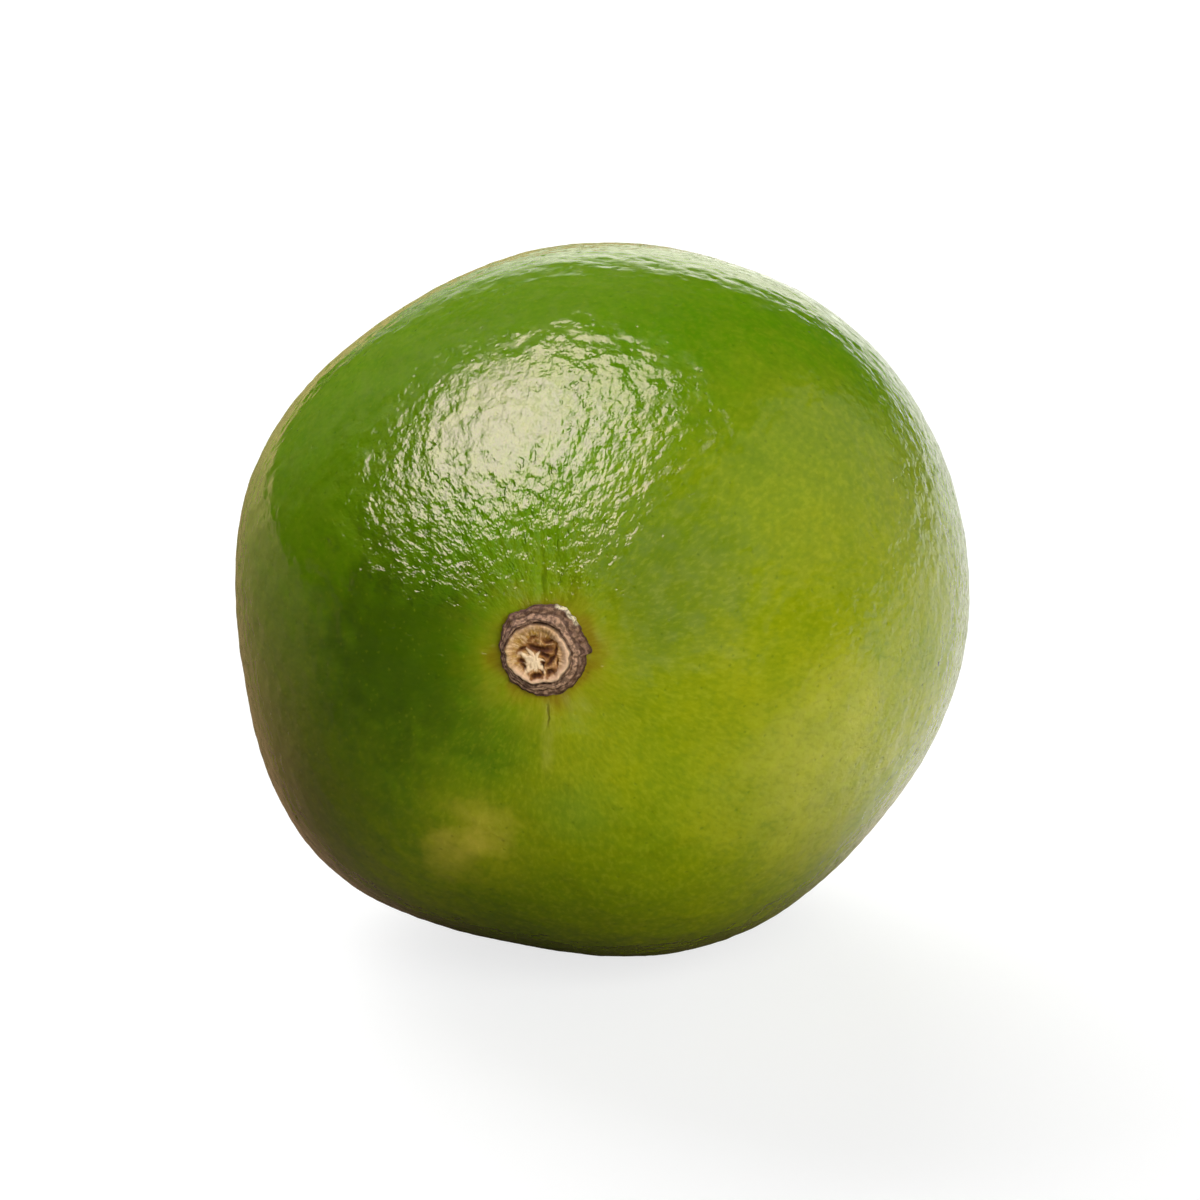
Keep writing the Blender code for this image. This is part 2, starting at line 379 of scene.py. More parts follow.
# The view: from the right of the stem end and above it
CAMERA_AZIMUTH = radians(8.2)
CAMERA_ELEVATION = radians(17)
CAMERA_DISTANCE = 0.831
SENSOR_WIDTH = 36.0
VIEW_WIDTH = 0.092  # how much the picture's width takes in at the lime

# The floor: what the viewer sees, and what the lime sees, which is painted light and shade
FLOOR_SIZE = 6.0
FLOOR_WHITE = (0.32, 0.32, 0.32, 1.0)
FLOOR_GLOW = (1.0, 1.0, 1.0, 1.0)
FLOOR_GLOW_STRENGTH = 0.74
# What the lime sees of the floor is painted shade, painted light and a painted brown reflection
FLOOR_PAINTED_SHADE = (0.05, 0.05, 0.05, 1.0)
FLOOR_PAINTED_LIGHT = (0.85, 0.83, 0.78, 1.0)
FLOOR_PAINTED_REFLECTION = (0.30, 0.18, 0.11, 1.0)
PAINTED_REFLECTION_STEP = (0.02, -0.03)
PAINTED_LIGHT_STEPS = ((0.06, 0.01), (0.009, 0.040))

# Every light's direction is to the picture's right, up and to the viewer
LAMP_DISTANCE = 0.9
LAMP_SIZE = 0.9
# Lights that shine on the lime without being mirrored: direction, and strength
LAMPS = (
    ("front_fill", (0.34, 0.00, 0.94), 4.7),
    ("overhead", (-0.34, 0.66, -0.66), 7.8),
    ("side_fill", (0.70, 0.00, -0.70), 3.3),
)
# Panels that the lime only mirrors: direction, distance, size, strength and tint
SOFTBOX_TINT = (1.0, 0.69, 0.80)
EDGE_TINT = (1.0, 0.73, 0.66)
PANELS = (
    ("softbox", (-0.32, 0.84, 0.43), 1.0, (1.44, 1.20), 3.4, EDGE_TINT),
    ("softbox_middle", (-0.38, 0.80, 0.46), 1.1, (1.10, 0.94), 6.0, SOFTBOX_TINT),
    ("softbox_lamp", (-0.38, 0.80, 0.46), 1.2, (0.72, 0.60), 6.2, SOFTBOX_TINT),
    ("softbox_top", (-0.02, 0.99, 0.10), 1.0, (0.60, 0.36), 8.5, EDGE_TINT),
    ("softbox_edge", (-0.42, 0.45, 0.79), 1.0, (0.42, 0.36), 8.0, EDGE_TINT),
)
PANEL_LEVEL = (0.80, -0.02, 0.60)

# The white wall on the right, seen from the lime: each side's plane, as its direction and softness
WALL_SIDES = (
    ((0.788, -0.616, 0.0), 0.03),
    ((0.768, -0.593, 0.242), 0.03),
    ((0.660, 0.0, 0.750), 0.14),
    ((-0.070, 0.998, 0.0), 0.09),
    ((0.670, 0.232, -0.705), 0.05),
)
WALL_STRENGTH = 0.42
# The pale sheet behind the lime, which reaches further down on the right and less far up there
SHEET_STRENGTH = 1.7
SHEET_TINT = (1.0, 0.95, 0.84, 1.0)
SHEET_EDGE = (0.79, 0.89)
SHEET_LEFT_EDGE = (-0.34, 0.06)
SHEET_LOW = ((0.25, 0.0), (-0.55, -0.30), (0.30, 0.70))
SHEET_LOW_REACH = 0.24
SHEET_HIGH = ((0.20, 0.45), (0.10, 0.35))
SHEET_HIGH_REACH = -0.09
ROOM_GLOW = 0.015
VIEWER_WHITE = 0.97


def bump(distance, width):
    """A smooth hump: 1 at no distance, and near 0 past twice the width."""
    return np.exp(-((distance / width) ** 2))


def smooth_step(low, high, value):
    share = np.clip((value - low) / (high - low), 0, 1)
    return share * share * (3 - 2 * share)


def stem_end_relief(out, turn):
    """Height of the skin over the plain oval at the stem end, at a distance out from the axis."""
    waves = sum(size * np.cos(count * (turn - valley)) for count, size, valley in CREASE_WAVES)
    creases = -waves * bump(out - CREASE_REACH, CREASE_WIDTH)
    waver = WRINKLE_WAVER[0] * np.sin(WRINKLE_WAVER[1] * turn)
    wrinkles = WRINKLE_DEPTH * np.sin(WRINKLES * turn + waver)
    wrinkles = wrinkles * bump(out - WRINKLE_REACH, WRINKLE_WIDTH)
    return creases + wrinkles - BASIN_DEPTH * bump(out, BASIN_RADIUS)


def stylar_end_relief(out, turn):
    """Height of the skin over the plain oval at the stylar end, at a distance out from the axis."""
    nipple = NIPPLE_HEIGHT * bump(out, NIPPLE_RADIUS)
    dent = DENT_DEPTH * bump(out, DENT_RADIUS)
    puckers = PUCKER_HEIGHT * np.cos(PUCKERS * turn) * bump(out - NIPPLE_RADIUS, NIPPLE_RADIUS / 3)
    furrow = FURROW_DEPTH * bump(out - FURROW_RADIUS, FURROW_WIDTH)
    return nipple + puckers - dent - furrow


def skin_points(polar, turn):
    """Points of the skin, by their angles from the stem axis and their turns round that axis."""
    share = np.where(polar < pi / 2, STEM_SIDE_SHARE, 1 - STEM_SIDE_SHARE)
    across = np.sin(polar) / (BODY_WIDTH / 2)
    along = np.abs(np.cos(polar)) / (share * BODY_LENGTH)
    oval = (across**FULLNESS + along**FULLNESS) ** (-1 / FULLNESS)
    lobes = sum(height * np.cos(count * (turn - peak)) for count, height, peak in LOBES)
    reach = oval * (1 + lobes * np.sin(polar) ** 2)
    out = reach * np.sin(polar)
    up = reach * np.cos(polar)
    up = up + np.where(up > 0, stem_end_relief(out, turn), -stylar_end_relief(out, turn))
    return np.stack([out * np.cos(turn), out * np.sin(turn), up], axis=1)


def angles_of(directions):
    return (
        np.arccos(np.clip(directions[:, 2], -1, 1)),
        np.arctan2(directions[:, 1], directions[:, 0]),
    )


def unit(vectors):
    return vectors / np.linalg.norm(vectors, axis=1)[:, None]


def gland_directions():
    """Directions of the oil glands from the middle: a golden-angle spiral, shaken a little."""
    draw = np.random.default_rng(GLAND_SEED)
    polar = np.linspace(0, pi, POLAR_STEPS)
    ends = bump(polar, END_CROWDING_ANGLE) + bump(pi - polar, END_CROWDING_ANGLE)
    filled = np.cumsum((1 + END_CROWDING * ends) * np.sin(polar))
    order = np.arange(GLANDS) + 0.5
    gland_polar = np.interp(order / GLANDS, filled / filled[-1], polar)
    gland_turn = order * pi * (3 - 5**0.5)
    out = np.sin(gland_polar)
    x, y, z = out * np.cos(gland_turn), out * np.sin(gland_turn), np.cos(gland_polar)
    places = np.stack([x, y, z], axis=1)
    spacing = (4 * pi / GLANDS) ** 0.5
    return unit(places + draw.normal(0, GLAND_SHAKE * spacing / 2, places.shape))


def gland_net(directions):
    """Triangles between neighbouring glands, and the directions that they use."""
    net = bmesh.new()
    for direction in directions:
        net.verts.new(direction)
    hull = bmesh.ops.convex_hull(net, input=net.verts[:])
    left_out = [vert for vert in hull["geom_interior"] if isinstance(vert, bmesh.types.BMVert)]
    bmesh.ops.delete(net, geom=left_out, context="VERTS")
    bmesh.ops.triangulate(net, faces=net.faces[:])
    net.verts.index_update()
    kept = np.array([vert.co for vert in net.verts])
    faces = np.array([[vert.index for vert in face.verts] for face in net.faces])
    net.free()
    return kept, faces


def split_edges(points, faces):
    """Each triangle as four, with a new point in the middle of every edge."""
    ends = np.sort(np.concatenate([faces[:, [0, 1]], faces[:, [1, 2]], faces[:, [2, 0]]]), axis=1)
    edges, which = np.unique(ends, axis=0, return_inverse=True)
    first, second, third = which.reshape(3, -1) + len(points)
    a, b, c = faces.T
    middles = points[edges].mean(axis=1)
    parts = [(a, first, third), (first, b, second), (third, second, c), (first, second, third)]
    return middles, np.concatenate([np.stack(part, axis=1) for part in parts])


def surface_normals(points, faces):
    corners = points[faces]
    across = np.cross(corners[:, 1] - corners[:, 0], corners[:, 2] - corners[:, 0])
    normals = np.zeros_like(points)
    for corner in range(3):
        np.add.at(normals, faces[:, corner], across)
    return unit(normals)


def swells(points, size):
    """Soft uneven heights from about -1 to 1 that change over this distance."""
    return np.array([noise.noise(Vector(point)) for point in points / size])


def lay_over(points):
    """Turns upright points to how the lime lies, about the middle of its widest section."""
    lean = np.array(Matrix.Rotation(pi / 2 - STEM_RISE, 3, "X"))
    return points @ lean.T


def resting_place(points):
    """Where the middle of the widest section is, so that the body fills the solid's box."""
    low, high = points.min(axis=0), points.max(axis=0)
    place = (np.array(FRUIT_BOX[0]) + np.array(FRUIT_BOX[1]) - low - high) / 2
    place[2] = FRUIT_BOX[1][2] - high[2]
    return place


def flatten_foot(points):
    """Presses what would lie under the ground flat onto it, with a soft edge."""
    height = points[:, 2]
    soft = (height + np.sqrt(height**2 + FOOT_SOFTNESS**2)) / 2
    points[:, 2] = np.where(np.abs(height) < 4 * FOOT_SOFTNESS, soft, np.maximum(height, 0))


def add_piece(name, points, faces, node):
    data = bpy.data.meshes.new(name)
    data.from_pydata(points.tolist(), [], faces.tolist())
    data.shade_smooth()
    piece = bpy.data.objects.new(name, data)
    bpy.context.collection.objects.link(piece)
    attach(piece, "root")
    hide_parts(node)
    return piece


def add_values(piece, name, values):
    """Keeps one number for each point of a piece, for its material to read."""
    made = piece.data.attributes.new(name, "FLOAT", "POINT")
    made.data.foreach_set("value", np.asarray(values, dtype=np.float32))


def make_rind():
    """The whole fruit's skin, pitted by its glands. Returns it and where its middle is."""
    directions, triangles = gland_net(gland_directions())
    glands = len(directions)
    middles, faces = split_edges(directions, triangles)
    directions = unit(np.concatenate([directions, middles]))
    points = skin_points(*angles_of(directions))
    normals = surface_normals(points, faces)

    draw = np.random.default_rng(GLAND_SEED + 1)
    depth = GLAND_DEPTH * draw.uniform(*GLAND_SPREAD, glands)
    open_gland = draw.random(glands) < OPEN_GLAND_SHARE
    open_depth = OPEN_GLAND_DEPTH * draw.uniform(*OPEN_GLAND_SPREAD, glands)
    depth = np.where(open_gland, open_depth, depth)
    upper = smooth_step(*ROUGH_ABOVE, directions[:, 1])
    rough = 1 + STEM_END_ROUGHNESS * bump(angles_of(directions)[0], STEM_END_ANGLE) * upper
    rise = SWELL_HEIGHT * swells(points, SWELL_SIZE)
    rise += rough * sum(height * swells(points, size) for size, height in PEBBLES)
    rise[:glands] -= depth * rough[:glands]
    points = lay_over(points + normals * rise[:, None])
    place = resting_place(points)
    points = points + place
    flatten_foot(points)

    rind = add_piece("lime_rind", points, faces, "fruit")
    between = len(points) - glands
    add_values(rind, "gland", np.append(np.ones(glands), np.zeros(between)))
    add_values(rind, "open_gland", np.append(open_gland, np.zeros(between)))
    add_values(rind, "gland_tone", np.append(draw.random(glands), np.full(between, 0.5)))
    return rind, place


def along_outline(outline, steps):
    """Evenly spaced radii and heights along an outline, rounded where it turns."""
    outline = np.array(outline)
    lengths = np.concatenate([[0], np.cumsum(np.linalg.norm(np.diff(outline, axis=0), axis=1))])
    where = np.linspace(0, lengths[-1], steps)
    fine = np.stack([np.interp(where, lengths, outline[:, axis]) for axis in (0, 1)], axis=1)
    for _ in range(3):
        fine[1:-1] = (fine[:-2] + 2 * fine[1:-1] + fine[2:]) / 4
    return fine


def turned_grid(outline, turns):
    """Radii, heights and turns of a turned shape, ring by ring."""
    radius, height = (np.repeat(column, turns) for column in outline.T)
    turn = np.tile(np.linspace(0, 2 * pi, turns, endpoint=False), len(outline))
    return radius, height, turn


def turned_faces(rings, turns):
    """Triangles between the rings of a turned shape."""
    ring, step = np.meshgrid(np.arange(rings - 1), np.arange(turns), indexing="ij")
    low = (ring * turns + step).ravel()
    low_next = (ring * turns + (step + 1) % turns).ravel()
    high, high_next = low + turns, low_next + turns
    one = np.stack([low, low_next, high_next], axis=1)
    other = np.stack([low, high_next, high], axis=1)
    return np.concatenate([one, other])


def place_button(x, y, height, place):
    """Points of the button in the lime's frame, standing on the stem end."""
    return lay_over(np.stack([x, y, BUTTON_BASE + height], axis=1)) + place


def around(turn):
    """Places on a circle, for unevenness that runs on round a ring."""
    return np.stack([np.cos(turn), np.sin(turn), 0 * turn], axis=1)


def scar_outline(turn):
    """How far the scar reaches at each turn, as a share of its radius."""
    waves = sum(height * np.cos(count * turn + start) for count, height, start in SCAR_WAVES)
    uneven = sum(height * swells(around(turn), size) for size, height in SCAR_EDGE_SWELLS)
    return 1 + waves + uneven


def along_and_across(x, y, middle, lean):
    """Distances from a place, along and across a line that is turned by this many degrees."""
    away_x, away_y = x - middle[0], y - middle[1]
    along = away_x * cos(radians(lean)) + away_y * sin(radians(lean))
    across = away_y * cos(radians(lean)) - away_x * sin(radians(lean))
    return along, across


def scar_pits(x, y):
    """Depths in mm of the scar's pits, at places in mm."""
    hollow = np.zeros(len(x))
    for pit_x, pit_y, length, width, lean, depth in SCAR_PITS:
        along, across = along_and_across(x, y, (pit_x, pit_y), lean)
        hollow = np.maximum(hollow, depth * bump(along, length) * bump(across, width))
    return hollow


def scar_ridges(x, y):
    """Where the scar's ridges are, from 0 to 1, at places in mm."""
    ridge = np.zeros(len(x))
    for length, lean, width in SCAR_RIDGES:
        along, across = along_and_across(x, y, STAR_MIDDLE, lean)
        reach = smooth_step(-RIDGE_START, RIDGE_START, along)
        reach = reach * smooth_step(length, length * RIDGE_FADE, along)
        taper = 1 - RIDGE_TAPER * along / length
        ridge = np.maximum(ridge, reach * bump(across, width * taper))
    return ridge


def close_top(points, rings, turns):
    """Closes the last ring of a turned shape round a point in its middle: points and faces."""
    last = (rings - 1) * turns
    step = np.arange(turns)
    middle = np.full(turns, len(points))
    fan = np.stack([last + step, last + (step + 1) % turns, middle], axis=1)
    points = np.concatenate([points, points[last:].mean(axis=0)[None]])
    return points, np.concatenate([turned_faces(rings, turns), fan])


def make_scar(place):
    """The raised scar where the stem broke off: pale ridges, and dark pits between them."""
    outline = along_outline(SCAR_OUTLINE, SCAR_RINGS)
    radius, height, turn = turned_grid(outline, SCAR_TURNS)
    reach = SCAR_SIZE * radius * scar_outline(turn)
    x, y = reach * np.cos(turn), reach * SCAR_FLATTENING * np.sin(turn)
    top = smooth_step(*SCAR_FACE, height)
    spots = np.stack([x, y, height], axis=1)
    ripple = sum(rise * swells(spots, size) for size, rise in SCAR_RIPPLES)
    flat = np.stack([x, y, 0 * x], axis=1)
    bent_x = x * MM + PIT_WAVER * ripple + PIT_BEND * swells(flat, PIT_BEND_SIZE)
    bent_y = y * MM - PIT_WAVER * np.roll(ripple, SCAR_TURNS // 3)
    bent_y = bent_y + PIT_BEND * swells(flat + PIT_BEND_SHIFT, PIT_BEND_SIZE)
    ridge = scar_ridges(bent_x, bent_y) * top
    hollow = scar_pits(bent_x, bent_y) * top * (1 - RIDGE_OVER_PITS * ridge)
    waver = FIBRE_WAVER[0] * np.sin(FIBRE_WAVER[1] * turn)
    fibres = FIBRE_HEIGHT * np.cos(FIBRES * turn + waver) * top
    fibres = fibres * bump(radius - FIBRE_RADIUS, FIBRE_WIDTH)
    lift = RIDGE_HEIGHT * ridge - hollow / MM + fibres + ripple * top
    points = place_button(x + SCAR_SHIFT[0], y + SCAR_SHIFT[1], height + lift, place)
    points, faces = close_top(points, SCAR_RINGS, SCAR_TURNS)
    scar = add_piece("stem_scar", points, faces, "stem_button")
    add_values(scar, "hollow", np.append(hollow, hollow[-1]) / FULL_PIT)
    add_values(scar, "ridge", np.append(ridge, ridge[-1]))
    add_values(scar, "reach", np.append(radius, 0) / SCAR_RIM_RADIUS)
    return scar


def calyx_tips(turn):
    """The calyx's small points, each 1 at its tip."""
    return sum(
        np.maximum(np.cos((turn - radians(peak)) / 2), 0) ** (2 * sharp**2)
        for peak, sharp in CALYX_TIPS
    )


def make_calyx(place):
    """The dry calyx: a thin wrinkled ring, drawn out to small points, and wider above the scar."""
    outline = along_outline(CALYX_OUTLINE, CALYX_RINGS)
    radius, height, turn = turned_grid(outline, CALYX_TURNS)
    edge = smooth_step(CALYX_EDGE_START, CALYX_RADIUS, radius)
    ragged = sum(rise * swells(around(turn), size) for size, rise in CALYX_EDGE_SWELLS)
    inner = radius * (scar_outline(turn) - 1) * (1 - edge)
    reach = radius + inner + edge * (CALYX_POINT_REACH * calyx_tips(turn) + ragged)
    x = reach * np.cos(turn) + SCAR_SHIFT[0] * (1 - edge)
    y = reach * np.sin(turn) * (1 + CALYX_STRETCH * edge)
    y = y + SCAR_SHIFT[1] * (1 - edge) + CALYX_DROP * edge
    spots = np.stack([x, y, height], axis=1)
    rough = sum(rise * swells(spots, size) for size, rise in CALYX_SWELLS)
    fold_size, fold_waver = CALYX_FOLD_WAVER
    fold = np.cos(2 * pi * radius / CALYX_FOLD_WIDTH + fold_waver * swells(spots, fold_size))
    lean = CALYX_LEAN[0] * np.sin(turn + CALYX_LEAN[1])
    lift = (rough + CALYX_FOLD_HEIGHT * fold * edge + lean) * smooth_step(*CALYX_TOP, height)
    faces = turned_faces(CALYX_RINGS, CALYX_TURNS)
    points = place_button(x, y, height + lift, place)
    calyx = add_piece("calyx_ring", points, faces, "stem_button")
    add_values(calyx, "reach", radius / CALYX_RADIUS)
    add_values(calyx, "fold", fold)
    return calyx


class Tree:
    """Short calls that add nodes to a tree and link them."""

    def __init__(self, tree):
        self.tree = tree

    def add(self, kind, settings=(), **values):
        node = self.tree.nodes.new(kind)
        for name, value in dict(settings).items():
            setattr(node, name, value)
        for name, value in values.items():
            self.put(node, name.replace("_", " "), value)
        return node

    def put(self, node, name, value):
        self.fill(node.inputs[int(name)] if name.isdigit() else node.inputs[name], value)

    def fill(self, socket, value):
        if isinstance(value, bpy.types.NodeSocket):
            self.tree.links.new(value, socket)
        else:
            socket.default_value = value

    def math(self, operation, first, second=0.0, third=0.0):
        node = self.tree.nodes.new("ShaderNodeMath")
        node.operation = operation
        for index, value in enumerate((first, second, third)):
            self.put(node, str(index), value)
        return node.outputs[0]

    def times(self, first, second):
        return self.math("MULTIPLY", first, second)

    def vector(self, operation, first, second=None):
        """A vector node with one or two inputs. Lengths and the like come from its Value."""
        node = self.add("ShaderNodeVectorMath", {"operation": operation})
        self.put(node, "0", first)
        if second is not None:
            self.put(node, "Scale" if operation == "SCALE" else "1", second)
        lengths = operation in {"LENGTH", "DISTANCE", "DOT_PRODUCT"}
        return node.outputs["Value" if lengths else "Vector"]

    def dot(self, first, second):
        return self.vector("DOT_PRODUCT", first, second)

    def mix(self, share, first, second):
        node = self.add("ShaderNodeMix", {"data_type": "RGBA"})
        sockets = {socket.identifier: socket for socket in node.inputs}
        self.fill(sockets["Factor_Float"], share)
        self.fill(sockets["A_Color"], first)
        self.fill(sockets["B_Color"], second)
        return next(socket for socket in node.outputs if socket.identifier == "Result_Color")

    def ramp(self, value, low, high, low_out=0.0, high_out=1.0):
        """A soft step from one number to another while the value goes from low to high."""
        node = self.add("ShaderNodeMapRange", {"interpolation_type": "SMOOTHSTEP"})
        for name, number in (
            ("Value", value),
            ("From Min", low),
            ("From Max", high),
            ("To Min", low_out),
            ("To Max", high_out),
        ):
            self.put(node, name, number)
        return node.outputs["Result"]

    def values_of(self, name):
        """The number that each point of the piece keeps under this name."""
        return self.add("ShaderNodeAttribute", {"attribute_name": name}).outputs["Fac"]

    def noise(self, place, scale, detail=2.0, roughness=0.5):
        node = self.add("ShaderNodeTexNoise", Scale=scale, Detail=detail, Roughness=roughness)
        self.put(node, "Vector", place)
        return node.outputs["Fac"]

    def group(self, group, **values):
        """A group's first output, with these values at its inputs."""
        return self.add("ShaderNodeGroup", {"node_tree": group}, **values).outputs[0]


def new_group(name, vectors, numbers, output):
    """A node group with named sockets: its tree, what it is given, and where its mask goes."""
    tree = bpy.data.node_groups.new(name, "ShaderNodeTree")
    for socket_name in vectors:
        tree.interface.new_socket(socket_name, in_out="INPUT", socket_type="NodeSocketVector")
    for socket_name, value in numbers.items():
        socket = tree.interface.new_socket(
            socket_name, in_out="INPUT", socket_type="NodeSocketFloat"
        )
        socket.default_value = value
    tree.interface.new_socket(output, in_out="OUTPUT", socket_type="NodeSocketFloat")
    given = tree.nodes.new("NodeGroupInput").outputs
    return Tree(tree), given, tree.nodes.new("NodeGroupOutput").inputs[output]


def spot_group():
    """A soft round spot at a place: its mask is 1 in the middle and 0 past its radius."""
    tree, given, mask = new_group(
        "soft spot",
        ("Place", "Centre"),
        {"Radius": 0.001, "Softness": 0.5, "Wobble": 0.0},
        "Mask",
    )
    away = tree.vector("DISTANCE", given["Place"], given["Centre"])
    share = tree.math("DIVIDE", away, given["Radius"])
    rough = tree.math("SUBTRACT", tree.noise(given["Place"], SPOT_EDGE_FINENESS, 2.0), 0.5)
    share = tree.math("MULTIPLY_ADD", rough, given["Wobble"], share)
    inner = tree.math("SUBTRACT", 1.0, given["Softness"])
    tree.fill(mask, tree.ramp(share, inner, 1.0, 1.0, 0.0))
    return tree.tree


def mottle_group():
    """Soft patches that grow and fade over the surface."""
    tree, given, mask = new_group(
        "mottle", ("Place",), {"Patch Size": 0.01, "Contrast": 0.2, "Detail": 2.0}, "Mask"
    )
    scale = tree.math("DIVIDE", 1.0, given["Patch Size"])
    patches = tree.noise(given["Place"], scale, given["Detail"])
    low = tree.math("SUBTRACT", 0.5, given["Contrast"])
    high = tree.math("ADD", 0.5, given["Contrast"])
    tree.fill(mask, tree.ramp(patches, low, high))
    return tree.tree


def streak_group():
    """Streaks that run out from the stem axis, as a mask."""
    tree, given, mask = new_group(
        "radial streaks", ("Place",), {"Fineness": 8.0, "Length": 0.003}, "Mask"
    )
    flat = tree.vector("MULTIPLY", given["Place"], (1.0, 1.0, 0.0))
    along = tree.math("DIVIDE", tree.vector("LENGTH", flat), given["Length"])
    spread = tree.vector("SCALE", tree.vector("NORMALIZE", flat), given["Fineness"])
    rise = tree.add("ShaderNodeCombineXYZ", Z=along).outputs["Vector"]
    streaks = tree.noise(tree.vector("ADD", spread, rise), 1.0, 3.0)
    tree.fill(mask, tree.ramp(streaks, 0.35, 0.65))
    return tree.tree


def drawn_out(tree, place):
    """Adds nodes that draw a pattern out towards the stem end, and leave it even further off."""
    parts = tree.add("ShaderNodeSeparateXYZ", Vector=place).outputs
    flat = tree.add("ShaderNodeCombineXYZ", X=parts["X"], Y=parts["Y"]).outputs["Vector"]
    out = tree.vector("LENGTH", flat)
    draw = tree.math("POWER", tree.math("MAXIMUM", out, 0.001), -0.5)
    spread = tree.add(
        "ShaderNodeCombineXYZ",
        X=tree.times(parts["X"], draw),
        Y=tree.times(parts["Y"], draw),
        Z=tree.times(parts["Z"], (BODY_WIDTH / 2) ** -0.5),
    )
    return spread.outputs["Vector"]


def drawn_grain_group():
    """Uneven grain that is drawn out towards the stem end, as a height."""
    tree, given, height = new_group(
        "drawn-out grain", ("Place",), {"Fineness": 100.0, "Detail": 2.0}, "Height"
    )
    spread = drawn_out(tree, given["Place"])
    tree.fill(height, tree.noise(spread, given["Fineness"], given["Detail"]))
    return tree.tree


def dents_group():
    """Dents of uneven size and outline, in only some of the cells of a pattern."""
    tree, given, depth = new_group(
        "scattered dents", ("Place",), {"Fineness": 150.0, "Share": 0.3}, "Depth"
    )
    spread = drawn_out(tree, given["Place"])
    finer = tree.times(given["Fineness"], DENT_BEND_FINENESS)
    warp = tree.add("ShaderNodeTexNoise", Vector=spread, Scale=finer, Detail=0.0).outputs["Color"]
    centred = tree.vector("SUBTRACT", warp, (0.5, 0.5, 0.5))
    reach = tree.math("DIVIDE", DENT_BEND, given["Fineness"])
    pushed = tree.vector("SCALE", centred, reach)
    bent = tree.vector("ADD", spread, pushed)
    cells = tree.add("ShaderNodeTexVoronoi", Vector=bent, Scale=given["Fineness"]).outputs
    chance = tree.add("ShaderNodeSeparateColor", Color=cells["Color"]).outputs["Red"]
    least = tree.math("SUBTRACT", 1.0, given["Share"])
    here = tree.ramp(chance, least, tree.math("ADD", least, 0.15))
    tree.fill(depth, tree.times(tree.ramp(cells["Distance"], 0.50, 0.10), here))
    return tree.tree


def new_material(name):
    material = bpy.data.materials.new(name)
    material.use_nodes = True
    material.node_tree.nodes.clear()
    tree = Tree(material.node_tree)
    shader = tree.add("ShaderNodeBsdfPrincipled")
    tree.add("ShaderNodeOutputMaterial", Surface=shader.outputs["BSDF"])
    return material, tree, shader


def upright_place(tree, place):
    """The surface's place in the upright lime's own axes, stem axis along +Z."""
    coordinates = tree.add("ShaderNodeTexCoord")
    mapping = tree.add("ShaderNodeMapping", {"vector_type": "TEXTURE"})
    tree.put(mapping, "Vector", coordinates.outputs["Object"])
    tree.put(mapping, "Location", place)
    tree.put(mapping, "Rotation", (pi / 2 - STEM_RISE, 0.0, 0.0))
    return mapping.outputs["Vector"]


def add_relief(tree, shader, height, distance):
    """Gives the shader a bumpy surface: a height of 1 stands this far out."""
    relief = tree.add("ShaderNodeBump", Strength=1.0, Distance=distance, Height=height)
    tree.put(shader, "Normal", relief.outputs["Normal"])


class Skin(Tree):
    """The rind's tree, with short calls that place patterns on the upright lime."""

    def __init__(self, tree, groups, upright):
        super().__init__(tree)
        self.groups = groups
        self.upright = upright
        self.parts = self.add("ShaderNodeSeparateXYZ", Vector=upright).outputs
        self.direction = self.vector("NORMALIZE", upright)
        self.facing = self.add("ShaderNodeSeparateXYZ", Vector=self.direction).outputs

    def pattern(self, name, **values):
        return self.group(self.groups[name], Place=self.upright, **values)

    def spot(self, centre, radius, softness, wobble=0.0):
        return self.pattern(
            "spot", Centre=centre, Radius=radius, Softness=softness, Wobble=wobble
        )

    def mottle(self, size, contrast, detail=2.0):
        return self.pattern("mottle", Patch_Size=size, Contrast=contrast, Detail=detail)

    def grain(self, fineness, detail):
        return self.pattern("grain", Fineness=fineness, Detail=detail)

    def blend(self, colour, strength, mask, other):
        return self.mix(self.times(mask, strength), colour, other)


def ground_colour(skin, sunned):
    """Green that turns olive and then yellow-olive on the sunny side, and darker and duller below
    as painted shade.
    """
    # Painted shade: darker, duller greens on the surfaces that face down
    colour = skin.mix(skin.ramp(skin.facing["Y"], 0.15, -0.45), LEAF_GREEN, SHADED_UNDERSIDE_GREEN)
    deep = skin.mix(skin.ramp(skin.facing["Y"], 0.05, -0.30), DEEP_GREEN, SHADED_UNDERSIDE_DEEP)
    colour = skin.mix(skin.ramp(sunned, 0.05, 0.35), colour, deep)
    colour = skin.mix(skin.ramp(sunned, 0.34, 0.82), colour, OLIVE)
    return skin.mix(skin.ramp(sunned, 0.84, 1.02), colour, YELLOW_OLIVE)


def add_patches(skin, colour, sunned):
    """Large patches, then finer mottle and flecks, then the shade left of the button."""
    for centre, radius, softness, wobble, strength, other in PATCHES:
        mask = skin.spot(centre, radius, softness, wobble)
        colour = skin.blend(colour, strength, mask, other)
    for size, contrast, strength, other in MOTTLES:
        colour = skin.blend(colour, strength, skin.mottle(size, contrast), other)
    flecks = skin.grain(FLECK_FINENESS, 2.0)
    pale = skin.ramp(sunned, 0.15, 0.75, 0.07, 0.22)
    colour = skin.blend(colour, pale, skin.ramp(flecks, 0.50, 0.68), FLECK_PALE)
    colour = skin.blend(colour, 0.20, skin.ramp(flecks, 0.50, 0.32), DARK_MOTTLE)
    return skin.blend(colour, SHADED_PATCH_STRENGTH, skin.spot(*SHADED_PATCH), SHADE_GREEN)


